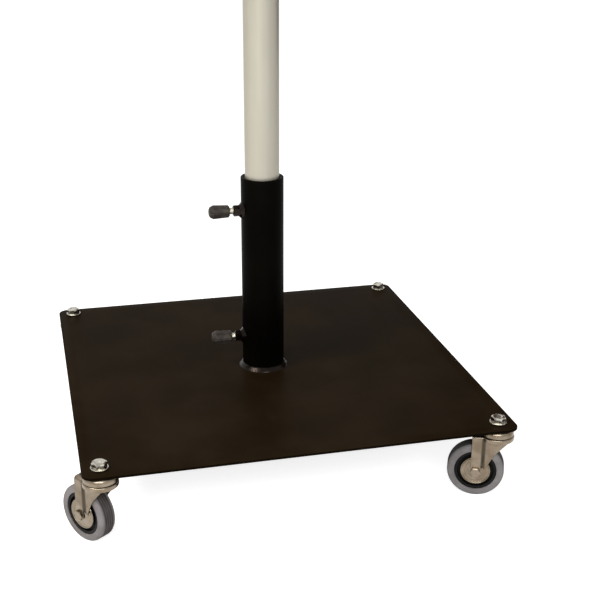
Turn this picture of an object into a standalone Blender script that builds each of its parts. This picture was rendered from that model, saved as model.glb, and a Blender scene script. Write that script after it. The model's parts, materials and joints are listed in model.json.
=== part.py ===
"""A wheeled tank trap: a square steel deck on four swivel castors, with a welded
socket that clamps an upright alloy pole with two hand screws.

Metres, +Z up. The origin is on the floor, under the middle of the pole.
"""

import math

import bmesh
import bpy
from mathutils import Matrix

GAP = 0.0003  # between pieces that touch
RUNNING_GAP = 0.0005  # between pieces that turn past each other

# Wheel
WHEEL_DIAMETER = 0.080
TREAD_WIDTH = 0.024
TYRE_SHOULDER = 0.004
RIM_RADIUS = 0.0295
RIM_WIDTH = 0.021
RIM_WALL = 0.004
WEB_THICKNESS = 0.010
HUB_RADIUS = 0.0105
HUB_WIDTH = 0.0190
HUB_WALL_GAP = 0.0003

# Axle, and the two thread guards on its tube
AXLE_RADIUS = 0.004
AXLE_TUBE_WALL = 0.0017
AXLE_HEAD_ACROSS_FLATS = 0.013
AXLE_HEAD_HEIGHT = 0.0046
AXLE_NUT_HEIGHT = 0.0068
AXLE_THREAD_SHOWING = 0.002
GUARD_RADIUS = 0.0212
GUARD_THICKNESS = 0.001
GUARD_HUB_RADIUS = 0.0085
GUARD_HUB_SLOPE = 0.003
GUARD_DEPTH = 0.0025  # from its hub's face back to its flat

# Fork
TRAIL = 0.027
HEAD_HEIGHT = 0.028  # deck's underside above the top of the wheel
LEG_THICKNESS = 0.0020
LEG_SPACING = 0.029  # between the insides of the two legs at the axle
LEG_WIDTH = 0.014
LEG_JOG = 0.0020  # how far the leg's front part steps in from its back part
LEG_JOG_LENGTH = 0.0050
LEG_TOE_REACH = 0.0125  # front part's lowest corner, in front of the axle
LEG_TOE_RISE = 0.0030  # and above it
LEG_JOG_RISE = 0.0105  # lower end of the jog, above the axle
LEG_BROW_RADIUS = 0.0150  # top of the front edge, from the kingpin's axis
LEG_BOW = 0.0020  # how far the front edge bows in
CROWN_RADIUS = 0.024
CROWN_THICKNESS = 0.0025
CROWN_RIM_DEPTH = 0.0055
CROWN_DEPTH = 0.0090
BRIDGE_FRONT = 0.0128

# Swivel head
CUP_RADIUS = 0.023
CUP_WALL = 0.0025
CUP_DEPTH = 0.0112
CUP_CORNER = 0.0055
BALL_DIAMETER = 0.006
BALL_RING_RADIUS = 0.0165
BALL_COUNT = 10
BALL_CAGE_WIDTH = 0.0015
RACE_WIDTH = 0.006
KINGPIN_WALL = 0.0022
KINGPIN_FLANGE_RADIUS = 0.0122
KINGPIN_FLANGE_THICKNESS = 0.002

# Castor bolts
BOLT_RADIUS = 0.006
BOLT_CLEARANCE = 0.0006
BOLT_HEAD_ACROSS_FLATS = 0.018
BOLT_HEAD_HEIGHT = 0.0075
BOLT_THREAD_SHOWING = 0.0012
WASHER_RADIUS = 0.012
WASHER_THICKNESS = 0.0025
BOLT_NUT_HEIGHT = 0.010

# Deck
DECK_SIDE = 0.600
DECK_THICKNESS = 0.004
DECK_CORNER_RADIUS = 0.015
BOLT_EDGE_DISTANCE = 0.024

# Socket and pole
SOCKET_DIAMETER = 0.0635
SOCKET_WALL = 0.005
SOCKET_HEIGHT = 0.300
SOCKET_WELD_LEG = 0.006
POLE_DIAMETER = 0.0508
POLE_WALL = 0.0032
POLE_LENGTH = 1.500

# Clamp screws, which point to -X
CLAMP_FROM_END = 0.050  # a screw's axis to the socket's foot or mouth
STUD_RADIUS = 0.005
STUD_IN_KNOB = 0.018
WELD_NUT_ACROSS_FLATS = 0.015
WELD_NUT_LENGTH = 0.0125
NUT_WELD_LEG = 0.0045
PAD_RADIUS = 0.004
PAD_THICKNESS = 0.003
KNOB_RADIUS = 0.0107
KNOB_FOOT_RADIUS = 0.0096  # it tapers towards the nut
KNOB_LENGTH = 0.0305
KNOB_LOBES = 8
KNOB_FLUTE_DEPTH = 0.0012
KNOB_COLLAR_RADIUS = 0.0078
KNOB_COLLAR_LENGTH = 0.0015
KNOB_SHOULDER_LENGTH = 0.0065
KNOB_SHOULDER_RADIUS = 0.0082
KNOB_END_LENGTH = 0.0015
KNOB_END_RADIUS = 0.0055
KNOB_STANDOFF = 0.0055  # bare stud between the weld nut and the knob

# Side of the deck along X and Y, and the heading in which each castor trails
CASTORS = {
    "front_left": (-1, -1, 127.3),
    "front_right": (1, -1, 156.3),
    "rear_left": (-1, 1, -20.0),
    "rear_right": (1, 1, -52.7),
}

LARGE_ROUND = 28  # facets round the socket, the pole and a tyre
ROUND = 16
SMALL_ROUND = 12
SMOOTH_ANGLE = math.radians(35)

# Deck and castor bolts, from the top down
AXLE_HEIGHT = WHEEL_DIAMETER / 2
DECK_BOTTOM = WHEEL_DIAMETER + HEAD_HEIGHT
DECK_TOP = DECK_BOTTOM + DECK_THICKNESS
BOLT_OFFSET = DECK_SIDE / 2 - BOLT_EDGE_DISTANCE
BOLT_HOLE_RADIUS = BOLT_RADIUS + BOLT_CLEARANCE
WASHER_BOTTOM = DECK_TOP + GAP
WASHER_TOP = WASHER_BOTTOM + WASHER_THICKNESS
HEAD_BOTTOM = WASHER_TOP + GAP
CUP_TOP = DECK_BOTTOM - GAP
CUP_BOTTOM = CUP_TOP - CUP_DEPTH
CUP_CEILING = CUP_TOP - CUP_WALL
BALL_HEIGHT = CUP_CEILING - GAP - BALL_DIAMETER / 2
RACE_TOP = BALL_HEIGHT - BALL_DIAMETER / 2 - GAP
CROWN_TOP = CUP_BOTTOM - RUNNING_GAP
CROWN_BOTTOM = CROWN_TOP - CROWN_THICKNESS
FLANGE_TOP = CROWN_BOTTOM - RUNNING_GAP
FLANGE_BOTTOM = FLANGE_TOP - KINGPIN_FLANGE_THICKNESS
KINGPIN_RADIUS = BOLT_HOLE_RADIUS + KINGPIN_WALL
BOLT_NUT_TOP = FLANGE_BOTTOM - GAP
BOLT_NUT_BOTTOM = BOLT_NUT_TOP - BOLT_NUT_HEIGHT
BOLT_END = BOLT_NUT_BOTTOM - BOLT_THREAD_SHOWING

# Fork and axle, from the middle of the wheel outwards
LEG_INNER = LEG_SPACING / 2
LEG_OUTER = LEG_INNER + LEG_THICKNESS
FRONT_OUTER = LEG_OUTER - LEG_JOG
LEG_BACK_X = TRAIL + LEG_WIDTH / 2
LEG_STEP_X = TRAIL - LEG_WIDTH / 2
LEG_TOP = CROWN_TOP - GAP
AXLE_BORE = AXLE_RADIUS + GAP
AXLE_TUBE_RADIUS = AXLE_BORE + AXLE_TUBE_WALL
AXLE_SEAT = LEG_OUTER + GAP
GUARD_FACE = LEG_INNER - GAP
GUARD_FLAT = GUARD_FACE - GUARD_DEPTH

# Socket, pole and clamp screws, from the middle of the pole outwards
SOCKET_RADIUS = SOCKET_DIAMETER / 2
SOCKET_FOOT = DECK_TOP + GAP
SOCKET_MOUTH = DECK_TOP + SOCKET_HEIGHT
POLE_RADIUS = POLE_DIAMETER / 2
POLE_FOOT = DECK_TOP + GAP
CLAMP_HEIGHTS = {
    "upper": SOCKET_MOUTH - CLAMP_FROM_END,
    "lower": DECK_TOP + CLAMP_FROM_END,
}
STUD_BORE = STUD_RADIUS + GAP
PAD_FACE = POLE_RADIUS + GAP
PAD_BACK = PAD_FACE + PAD_THICKNESS
STUD_TIP = PAD_BACK + GAP
WELD_NUT_FACE = SOCKET_RADIUS + GAP
WELD_NUT_END = WELD_NUT_FACE + WELD_NUT_LENGTH
KNOB_FOOT = WELD_NUT_END + KNOB_STANDOFF
KNOB_END = KNOB_FOOT + KNOB_LENGTH
STUD_END = KNOB_FOOT + STUD_IN_KNOB


def material(name, colour, roughness, metallic):
    made = bpy.data.materials.new(name)
    made.use_nodes = True
    shader = made.node_tree.nodes["Principled BSDF"]
    shader.inputs["Base Color"].default_value = (*colour, 1)
    shader.inputs["Roughness"].default_value = roughness
    shader.inputs["Metallic"].default_value = metallic
    return made


def finished(bm, name):
    """The bmesh as a mesh that faces out and is smooth except at its sharp edges."""
    bmesh.ops.remove_doubles(bm, verts=bm.verts, dist=1e-6)
    bmesh.ops.recalc_face_normals(bm, faces=bm.faces)
    mesh = bpy.data.meshes.new(name)
    bm.to_mesh(mesh)
    bm.free()
    mesh.shade_smooth()
    mesh.set_sharp_from_angle(angle=SMOOTH_ANGLE)
    return mesh


def turned(name, profile, segments=ROUND):
    """A profile of (radius, height) points turned about Z; one that starts on the axis is solid."""
    bm = bmesh.new()
    points = [bm.verts.new((radius, 0, height)) for radius, height in profile]
    edges = [bm.edges.new(pair) for pair in zip(points, points[1:])]
    if profile[0][0] > 0:
        edges.append(bm.edges.new((points[-1], points[0])))
    turn = 2 * math.pi
    bmesh.ops.spin(
        bm, geom=points + edges, axis=(0, 0, 1), angle=turn, steps=segments, use_merge=True
    )
    return finished(bm, name)


def ring(name, inner, outer, low, high, segments=ROUND):
    return turned(name, [(inner, low), (outer, low), (outer, high), (inner, high)], segments)


def rod(name, radius, low, high, segments=SMALL_ROUND):
    return turned(name, [(0, low), (radius, low), (radius, high), (0, high)], segments)


def stacked(name, outline, levels):
    """An outline of (x, y) points at each (height, scale) level, with sides between and closed ends."""
    bm = bmesh.new()
    loops = [
        [bm.verts.new((x * scale, y * scale, height)) for x, y in outline]
        for height, scale in levels
    ]
    for below, above in zip(loops, loops[1:]):
        for i in range(len(outline)):
            bm.faces.new((below[i - 1], below[i], above[i], above[i - 1]))
    bm.faces.new(loops[0])
    bm.faces.new(loops[-1])
    return finished(bm, name)


def slab(name, outline, low, high):
    return stacked(name, outline, [(low, 1), (high, 1)])


def arc(centre, radius, start, end, steps):
    """Points on an arc whose ends are in degrees."""
    angles = [math.radians(start + (end - start) * i / steps) for i in range(steps + 1)]
    return [(centre[0] + radius * math.cos(a), centre[1] + radius * math.sin(a)) for a in angles]


def bowed(start, pull, end, steps):
    """Points on a curve from start to end that leans towards pull."""
    points = []
    for i in range(steps + 1):
        t = i / steps
        weights = ((1 - t) ** 2, 2 * t * (1 - t), t**2)
        points.append(
            tuple(sum(w * p[k] for w, p in zip(weights, (start, pull, end))) for k in (0, 1))
        )
    return points


def hexagon(across_flats):
    return arc((0, 0), across_flats / math.sqrt(3), 0, 300, 5)


def moved(mesh, matrix):
    mesh.transform(matrix)
    return mesh


def mirrored_in_y(mesh):
    copy = mesh.copy()
    copy.transform(Matrix.Scale(-1, 4, (0, 1, 0)))
    copy.flip_normals()
    return copy


def combined(name, mesh, tools, operation):
    """The mesh with each tool mesh added to it or cut from it."""
    body = bpy.data.objects.new(name, mesh)
    bpy.context.scene.collection.objects.link(body)
    helpers = []
    for tool in tools:
        helper = bpy.data.objects.new(name + "_tool", tool)
        bpy.context.scene.collection.objects.link(helper)
        helpers.append(helper)
        step = body.modifiers.new("step", "BOOLEAN")
        step.operation = operation
        step.object = helper
    evaluated = body.evaluated_get(bpy.context.evaluated_depsgraph_get())
    bm = bmesh.new()
    bm.from_mesh(evaluated.to_mesh())
    for obj in [body, *helpers]:
        bpy.data.objects.remove(obj)
    return finished(bm, name)


def joined(name, mesh, tools):
    return combined(name, mesh, tools, "UNION")


def cut(name, mesh, tools):
    return combined(name, mesh, tools, "DIFFERENCE")


def nut(name, across_flats, bore, low, high):
    drill = rod("drill", bore, low - GAP, high + GAP)
    return cut(name, slab(name, hexagon(across_flats), low, high), [drill])


def bolt(name, across_flats, head_low, head_high, radius, end):
    shank = rod("shank", radius, end, (head_low + head_high) / 2)
    return joined(name, slab(name, hexagon(across_flats), head_low, head_high), [shank])


def place(name, mesh, finish, parent, matrix=None):
    """A piece at the matrix in its parent's frame."""
    obj = bpy.data.objects.new(name, mesh)
    bpy.context.scene.collection.objects.link(obj)
    if not mesh.materials:
        mesh.materials.append(finish)
    obj.parent = parent
    if matrix is not None:
        obj.matrix_local = matrix
    return obj


def pivot(name, parent, location, heading=0.0):
    """An empty on a joint's axis, which carries the pieces that move about it."""
    obj = bpy.data.objects.new(name, None)
    bpy.context.scene.collection.objects.link(obj)
    obj.parent = parent
    obj.location = location
    obj.rotation_euler = (0, 0, math.radians(heading))
    return obj


# Deck
def deck_plate():
    inner = DECK_SIDE / 2 - DECK_CORNER_RADIUS
    outline = []
    for sx, sy, start in ((1, -1, -90), (1, 1, 0), (-1, 1, 90), (-1, -1, 180)):
        outline += arc((sx * inner, sy * inner), DECK_CORNER_RADIUS, start, start + 90, 4)
    holes = []
    for sx, sy, _ in CASTORS.values():
        hole = rod("hole", BOLT_HOLE_RADIUS, DECK_BOTTOM - GAP, DECK_TOP + GAP)
        holes.append(moved(hole, Matrix.Translation((sx * BOLT_OFFSET, sy * BOLT_OFFSET, 0))))
    return cut("deck_plate", slab("deck_plate", outline, DECK_BOTTOM, DECK_TOP), holes)


# Swivel head
def swivel_cup():
    inner = CUP_RADIUS - CUP_WALL
    corner = arc((CUP_RADIUS - CUP_CORNER, CUP_TOP - CUP_CORNER), CUP_CORNER, 0, 90, 2)
    return turned(
        "swivel_cup",
        [
            (inner, CUP_BOTTOM),
            (CUP_RADIUS, CUP_BOTTOM),
            *corner,
            (BOLT_HOLE_RADIUS, CUP_TOP),
            (BOLT_HOLE_RADIUS, CUP_CEILING),
            (inner, CUP_CEILING),
        ],
    )


def kingpin():
    top = CUP_CEILING - GAP
    return turned(
        "kingpin",
        [
            (BOLT_HOLE_RADIUS, FLANGE_BOTTOM),
            (KINGPIN_FLANGE_RADIUS, FLANGE_BOTTOM),
            (KINGPIN_FLANGE_RADIUS, FLANGE_TOP),
            (KINGPIN_RADIUS, FLANGE_TOP),
            (KINGPIN_RADIUS, top),
            (BOLT_HOLE_RADIUS, top),
        ],
        SMALL_ROUND,
    )


def ball_race():
    """The balls and the thin cage that spaces them."""
    cage = ring(
        "ball_race",
        BALL_RING_RADIUS - BALL_CAGE_WIDTH / 2,
        BALL_RING_RADIUS + BALL_CAGE_WIDTH / 2,
        BALL_HEIGHT - BALL_CAGE_WIDTH / 2,
        BALL_HEIGHT + BALL_CAGE_WIDTH / 2,
        BALL_COUNT,
    )
    balls = bmesh.new()
    for i in range(BALL_COUNT):
        angle = 2 * math.pi * i / BALL_COUNT
        x, y = BALL_RING_RADIUS * math.cos(angle), BALL_RING_RADIUS * math.sin(angle)
        spot = Matrix.Translation((x, y, BALL_HEIGHT)) @ Matrix.Rotation(angle, 4, "Z")
        bmesh.ops.create_icosphere(balls, subdivisions=1, radius=BALL_DIAMETER / 2, matrix=spot)
    return joined("ball_race", cage, [finished(balls, "balls")])


# Fork, with its crown forward of the axle and its legs down to it
def leg():
    """One leg, at +Y: a back strip down to the axle, a jog inwards, and a front part."""
    brow_x = -LEG_BROW_RADIUS
    jog_x = LEG_STEP_X - LEG_JOG_LENGTH
    outside = [(LEG_BACK_X, LEG_OUTER), (LEG_STEP_X, LEG_OUTER), (jog_x, FRONT_OUTER), (brow_x, FRONT_OUTER)]
    inside = [(x, y - LEG_THICKNESS) for x, y in reversed(outside)]
    plank = slab("leg", outside + inside, AXLE_HEIGHT - LEG_WIDTH, LEG_TOP)
    brow = (brow_x, CROWN_TOP - CROWN_DEPTH)
    toe = (TRAIL - LEG_TOE_REACH, AXLE_HEIGHT + LEG_TOE_RISE)
    pull = ((brow[0] + toe[0]) / 2 + LEG_BOW, (brow[1] + toe[1]) / 2 + LEG_BOW)
    side_view = [
        (LEG_BACK_X, CROWN_TOP),
        *arc((TRAIL, AXLE_HEIGHT), LEG_WIDTH / 2, 0, -180, 6),
        (LEG_STEP_X, AXLE_HEIGHT + LEG_JOG_RISE),
        *bowed(toe, pull, brow, 4),
        (brow_x, CROWN_TOP),
    ]
    blank = slab("blank", side_view, -2 * LEG_OUTER, 0)
    blank.transform(Matrix.Rotation(math.pi / 2, 4, "X"))
    return combined("leg", plank, [blank], "INTERSECT")


def fork():
    hole = KINGPIN_RADIUS + RUNNING_GAP
    neck = LEG_BROW_RADIUS
    wall = CROWN_THICKNESS
    race_inner = BALL_RING_RADIUS - RACE_WIDTH / 2
    race_outer = BALL_RING_RADIUS + RACE_WIDTH / 2
    crown = turned(
        "fork",
        [
            (hole, CROWN_BOTTOM),
            (CROWN_RADIUS - wall, CROWN_BOTTOM),
            (neck - wall, CROWN_TOP - CROWN_DEPTH + wall),
            (neck, CROWN_TOP - CROWN_DEPTH),
            (CROWN_RADIUS, CROWN_TOP - CROWN_RIM_DEPTH),
            (CROWN_RADIUS, CROWN_TOP),
            (race_outer, CROWN_TOP),
            (race_outer, RACE_TOP),
            (race_inner, RACE_TOP),
            (race_inner, CROWN_TOP),
            (hole, CROWN_TOP),
        ],
    )
    shelf = [
        (BRIDGE_FRONT, -LEG_OUTER),
        (LEG_BACK_X, -LEG_OUTER),
        (LEG_BACK_X, LEG_OUTER),
        (BRIDGE_FRONT, LEG_OUTER),
    ]
    bridge = slab("bridge", shelf, CROWN_BOTTOM, CROWN_TOP)
    near = leg()
    body = joined("fork", crown, [bridge, near, mirrored_in_y(near)])
    drill = rod("drill", AXLE_BORE, -AXLE_SEAT, AXLE_SEAT)
    drill.transform(Matrix.Rotation(math.pi / 2, 4, "X"))
    drill.transform(Matrix.Translation((TRAIL, 0, AXLE_HEIGHT)))
    return cut("fork", body, [drill])


# Wheel and axle pieces, each about its own Z, which lies along the axle
def tyre():
    outer = WHEEL_DIAMETER / 2
    half = TREAD_WIDTH / 2
    seat = RIM_RADIUS + GAP
    upper = arc((outer - TYRE_SHOULDER, half - TYRE_SHOULDER), TYRE_SHOULDER, 0, 90, 2)
    lower = [(radius, -height) for radius, height in reversed(upper)]
    return turned("tyre", [(seat, -half), *lower, *upper, (seat, half)], LARGE_ROUND)


def wheel_centre():
    seat = RIM_RADIUS - RIM_WALL
    half = [
        (AXLE_TUBE_RADIUS + HUB_WALL_GAP, HUB_WIDTH / 2),
        (HUB_RADIUS, HUB_WIDTH / 2),
        (HUB_RADIUS, WEB_THICKNESS / 2),
        (seat, WEB_THICKNESS / 2),
        (seat, RIM_WIDTH / 2),
        (RIM_RADIUS, RIM_WIDTH / 2),
    ]
    other_half = [(radius, -height) for radius, height in reversed(half)]
    return turned("wheel_centre", half + other_half)


def thread_guards():
    """The axle's spacer tube and the dished guard on each end of it."""
    face = [
        (AXLE_BORE, GUARD_FACE),
        (GUARD_HUB_RADIUS, GUARD_FACE),
        (GUARD_HUB_RADIUS + GUARD_HUB_SLOPE, GUARD_FLAT),
        (GUARD_RADIUS, GUARD_FLAT),
    ]
    back = [(radius, height - GUARD_THICKNESS) for radius, height in reversed(face)]
    near = turned("guard", face + back, SMALL_ROUND)
    far = moved(near.copy(), Matrix.Rotation(math.pi, 4, "X"))
    reach = GUARD_FACE - GUARD_THICKNESS / 2
    tube = ring("thread_guards", AXLE_BORE, AXLE_TUBE_RADIUS, -reach, reach, SMALL_ROUND)
    return joined("thread_guards", tube, [near, far])


def axle_bolt():
    end = -(AXLE_SEAT + AXLE_NUT_HEIGHT + AXLE_THREAD_SHOWING)
    head_top = AXLE_SEAT + AXLE_HEAD_HEIGHT
    return bolt("axle_bolt", AXLE_HEAD_ACROSS_FLATS, AXLE_SEAT, head_top, AXLE_RADIUS, end)


def axle_nut():
    low = -(AXLE_SEAT + AXLE_NUT_HEIGHT)
    return nut("axle_nut", AXLE_HEAD_ACROSS_FLATS, AXLE_BORE, low, -AXLE_SEAT)


def build_castors(finishes, deck):
    bolt_top = HEAD_BOTTOM + BOLT_HEAD_HEIGHT
    on_deck = {
        "bolt": bolt("bolt", BOLT_HEAD_ACROSS_FLATS, HEAD_BOTTOM, bolt_top, BOLT_RADIUS, BOLT_END),
        "washer": ring("washer", BOLT_HOLE_RADIUS, WASHER_RADIUS, WASHER_BOTTOM, WASHER_TOP),
        "bolt_nut": nut("nut", BOLT_HEAD_ACROSS_FLATS, BOLT_RADIUS + GAP, BOLT_NUT_BOTTOM, BOLT_NUT_TOP),
        "swivel_cup": swivel_cup(),
        "kingpin": kingpin(),
    }
    on_swivel = {"ball_race": ball_race(), "fork": fork()}
    on_axle = {
        "thread_guards": (thread_guards(), finishes["zinc"]),
        "axle_bolt": (axle_bolt(), finishes["zinc"]),
        "axle_nut": (axle_nut(), finishes["zinc"]),
        "tyre": (tyre(), finishes["grey_rubber"]),
        "wheel_centre": (wheel_centre(), finishes["black_plastic"]),
    }
    along_axle = Matrix.Rotation(-math.pi / 2, 4, "X")
    for corner, (sx, sy, heading) in CASTORS.items():
        spot = (sx * BOLT_OFFSET, sy * BOLT_OFFSET, 0)
        swivel = pivot(corner + "_swivel", deck, spot, heading)
        axle = pivot(corner + "_axle", swivel, (TRAIL, 0, AXLE_HEIGHT))
        for piece, mesh in on_deck.items():
            place(f"{corner}_{piece}", mesh, finishes["zinc"], deck, Matrix.Translation(spot))
        for piece, mesh in on_swivel.items():
            place(f"{corner}_{piece}", mesh, finishes["zinc"], swivel)
        for piece, (mesh, finish) in on_axle.items():
            place(f"{corner}_{piece}", mesh, finish, axle, along_axle)


# Socket and its welded nuts
def to_screw(height):
    """Lays a piece made about Z along a screw's axis, so that its Z points to -X."""
    return Matrix.Translation((0, 0, height)) @ Matrix.Rotation(-math.pi / 2, 4, "Y")


def pole_socket():
    inner = SOCKET_RADIUS - SOCKET_WALL
    tube = ring("pole_socket", inner, SOCKET_RADIUS, SOCKET_FOOT, SOCKET_MOUTH, LARGE_ROUND)
    holes = [
        moved(rod("hole", STUD_BORE, 0, SOCKET_DIAMETER), to_screw(height))
        for height in CLAMP_HEIGHTS.values()
    ]
    return cut("pole_socket", tube, holes)


def socket_weld():
    inner = SOCKET_RADIUS + GAP
    toe = (inner + SOCKET_WELD_LEG, SOCKET_FOOT)
    top = (inner, SOCKET_FOOT + SOCKET_WELD_LEG)
    hollow = (inner + SOCKET_WELD_LEG / 3, SOCKET_FOOT + SOCKET_WELD_LEG / 3)
    return turned("socket_weld", [(inner, SOCKET_FOOT), *bowed(toe, hollow, top, 2)], LARGE_ROUND)


def weld_nut():
    """The nut and the bead that joins it to the socket's round side."""
    corner = WELD_NUT_ACROSS_FLATS / math.sqrt(3)
    sleeve = slab("weld_nut", hexagon(WELD_NUT_ACROSS_FLATS), SOCKET_RADIUS / 2, WELD_NUT_END)
    bead = turned(
        "bead",
        [
            (0, SOCKET_RADIUS / 2),
            (corner + NUT_WELD_LEG, SOCKET_RADIUS / 2),
            (corner + NUT_WELD_LEG, SOCKET_RADIUS - NUT_WELD_LEG),
            (corner, WELD_NUT_FACE + NUT_WELD_LEG),
            (0, WELD_NUT_FACE + NUT_WELD_LEG),
        ],
        SMALL_ROUND,
    )
    drill = rod("drill", STUD_BORE, 0, WELD_NUT_END + GAP)
    tube = rod("tube", WELD_NUT_FACE, -SOCKET_RADIUS, SOCKET_RADIUS, LARGE_ROUND)
    tube.transform(Matrix.Rotation(math.pi / 2, 4, "Y"))
    return cut("weld_nut", joined("weld_nut", sleeve, [bead]), [drill, tube])


# Clamp screws
def knob():
    outline = []
    for i in range(KNOB_LOBES):
        lobe = 360 / KNOB_LOBES
        groove = math.radians(i * lobe)
        depth = KNOB_RADIUS - KNOB_FLUTE_DEPTH
        outline.append((depth * math.cos(groove), depth * math.sin(groove)))
        outline += arc((0, 0), KNOB_RADIUS, (i + 0.2) * lobe, (i + 0.8) * lobe, 2)
    levels = [
        (KNOB_FOOT + KNOB_COLLAR_LENGTH, KNOB_FOOT_RADIUS / KNOB_RADIUS),
        (KNOB_END - KNOB_SHOULDER_LENGTH, 1),
        (KNOB_END - KNOB_END_LENGTH, KNOB_SHOULDER_RADIUS / KNOB_RADIUS),
        (KNOB_END, KNOB_END_RADIUS / KNOB_RADIUS),
    ]
    collar = rod("collar", KNOB_COLLAR_RADIUS, KNOB_FOOT, KNOB_FOOT + 2 * KNOB_COLLAR_LENGTH)
    drill = rod("drill", STUD_BORE, KNOB_FOOT - GAP, STUD_END + GAP)
    return cut("knob", joined("knob", stacked("knob", outline, levels), [collar]), [drill])


def build_clamps(finishes, deck):
    for name, height in CLAMP_HEIGHTS.items():
        lie = to_screw(height)
        travel = pivot(name + "_clamp_travel", deck, (0, 0, 0))
        turn = pivot(name + "_clamp_turn", travel, (0, 0, 0))
        place(name + "_weld_nut", weld_nut(), finishes["black_paint"], deck, lie)
        place(name + "_clamp_pad", rod("pad", PAD_RADIUS, PAD_FACE, PAD_BACK), finishes["brass"], travel, lie)
        place(name + "_clamp_stud", rod("stud", STUD_RADIUS, STUD_TIP, STUD_END), finishes["zinc"], turn, lie)
        place(name + "_clamp_knob", knob(), finishes["black_plastic"], turn, lie)


def build():
    for obj in list(bpy.data.objects):
        bpy.data.objects.remove(obj)
    finishes = {
        "black_paint": material("black_paint", (0.012, 0.010, 0.008), 0.42, 0.0),
        "zinc": material("zinc", (0.60, 0.56, 0.50), 0.32, 1.0),
        "grey_rubber": material("grey_rubber", (0.14, 0.14, 0.14), 0.75, 0.0),
        "black_plastic": material("black_plastic", (0.015, 0.014, 0.013), 0.45, 0.0),
        "brass": material("brass", (0.60, 0.42, 0.18), 0.35, 1.0),
        "alloy": material("alloy", (0.66, 0.65, 0.58), 0.45, 1.0),
    }
    deck = place("deck_plate", deck_plate(), finishes["black_paint"], None)
    place("pole_socket", pole_socket(), finishes["black_paint"], deck)
    place("socket_weld", socket_weld(), finishes["black_paint"], deck)
    lift = pivot("pole_lift", deck, (0, 0, 0))
    inner = POLE_RADIUS - POLE_WALL
    tube = ring("pole", inner, POLE_RADIUS, POLE_FOOT, POLE_FOOT + POLE_LENGTH, LARGE_ROUND)
    place("pole", tube, finishes["alloy"], lift)
    build_clamps(finishes, deck)
    build_castors(finishes, deck)
    bpy.context.view_layer.update()


build()
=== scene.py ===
# %% [markdown]
# # Wheeled tank trap stand
#
# A square steel deck rolls on four swivel castors. A black socket is welded upright in its middle,
# and two hand screws clamp an alloy pole in the socket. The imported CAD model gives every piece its
# place and size, and this lesson dresses each of them with a finer mesh and a real finish.

import json
import math

import bmesh
import bpy
from mathutils import Matrix, Vector


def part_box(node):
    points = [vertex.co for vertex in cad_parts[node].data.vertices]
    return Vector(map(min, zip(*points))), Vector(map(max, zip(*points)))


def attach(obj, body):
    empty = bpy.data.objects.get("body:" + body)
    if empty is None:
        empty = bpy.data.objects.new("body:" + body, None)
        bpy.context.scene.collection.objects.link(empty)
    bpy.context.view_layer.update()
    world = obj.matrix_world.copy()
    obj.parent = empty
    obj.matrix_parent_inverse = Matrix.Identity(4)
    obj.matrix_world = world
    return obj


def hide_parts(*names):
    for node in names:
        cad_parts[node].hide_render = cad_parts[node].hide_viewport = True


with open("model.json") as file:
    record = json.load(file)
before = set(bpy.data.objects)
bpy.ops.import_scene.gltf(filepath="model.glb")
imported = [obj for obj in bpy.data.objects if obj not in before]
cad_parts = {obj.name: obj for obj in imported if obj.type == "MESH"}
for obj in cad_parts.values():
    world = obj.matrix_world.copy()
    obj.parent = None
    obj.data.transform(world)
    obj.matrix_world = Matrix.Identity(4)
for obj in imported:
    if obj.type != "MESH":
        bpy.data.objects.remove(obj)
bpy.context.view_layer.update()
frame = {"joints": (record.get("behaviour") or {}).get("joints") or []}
MM = 0.001
TURN = 2 * math.pi

# %% [markdown]
# ## Camera
#
# The photograph was taken a little above the stand and to its left. A camera could be aimed by eye,
# but a pinhole camera that is solved from the deck's edges, the socket and the pole puts every
# corner where the photograph has it, so its place and angles are written down as solved.

# %% Camera
CAMERA_SPOT = (-0.33854, -1.58103, 0.83804)
CAMERA_TURN = 0.24607  # from +Y towards +X
CAMERA_DIP = 0.36660
CAMERA_ROLL = 0.00536
CAMERA_LENS = 67.787
CAMERA_SENSOR = 36


def linked(name, data):
    """A new object of the scene, from its data."""
    thing = bpy.data.objects.new(name, data)
    bpy.context.scene.collection.objects.link(thing)
    return thing


lens = bpy.data.cameras.new("camera")
lens.lens = CAMERA_LENS
lens.sensor_width = CAMERA_SENSOR
camera = linked("camera", lens)
camera.matrix_world = (
    Matrix.Translation(CAMERA_SPOT)
    @ Matrix.Rotation(-CAMERA_TURN, 4, "Z")
    @ Matrix.Rotation(math.pi / 2 - CAMERA_DIP, 4, "X")
    @ Matrix.Rotation(CAMERA_ROLL, 4, "Z")
)
bpy.context.scene.camera = camera


def pixel(point, side=600):
    """Where the camera sees a point, in pixels of the square picture."""
    x, y, z = camera.matrix_world.inverted() @ Vector(point)
    reach = side * lens.lens / lens.sensor_width
    return side / 2 - reach * x / z, side / 2 + reach * y / z


deck_low, deck_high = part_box("deck_plate")
corner_seen = pixel((deck_low.x, deck_low.y, deck_high.z))
print("front left corner of the deck at", [round(place, 1) for place in corner_seen])

# %% [markdown]
# ## Turned pieces
#
# Most of this stand comes off a lathe or is drawn as tube, so most of its pieces are one outline
# turned about an axis. The outline could be drawn with a bevel modifier on every edge, but a corner
# radius on the outline's own points rounds each edge by as much as that edge needs.

# %% Outlines and turning
SEAM_GAP = 1e-6


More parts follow.
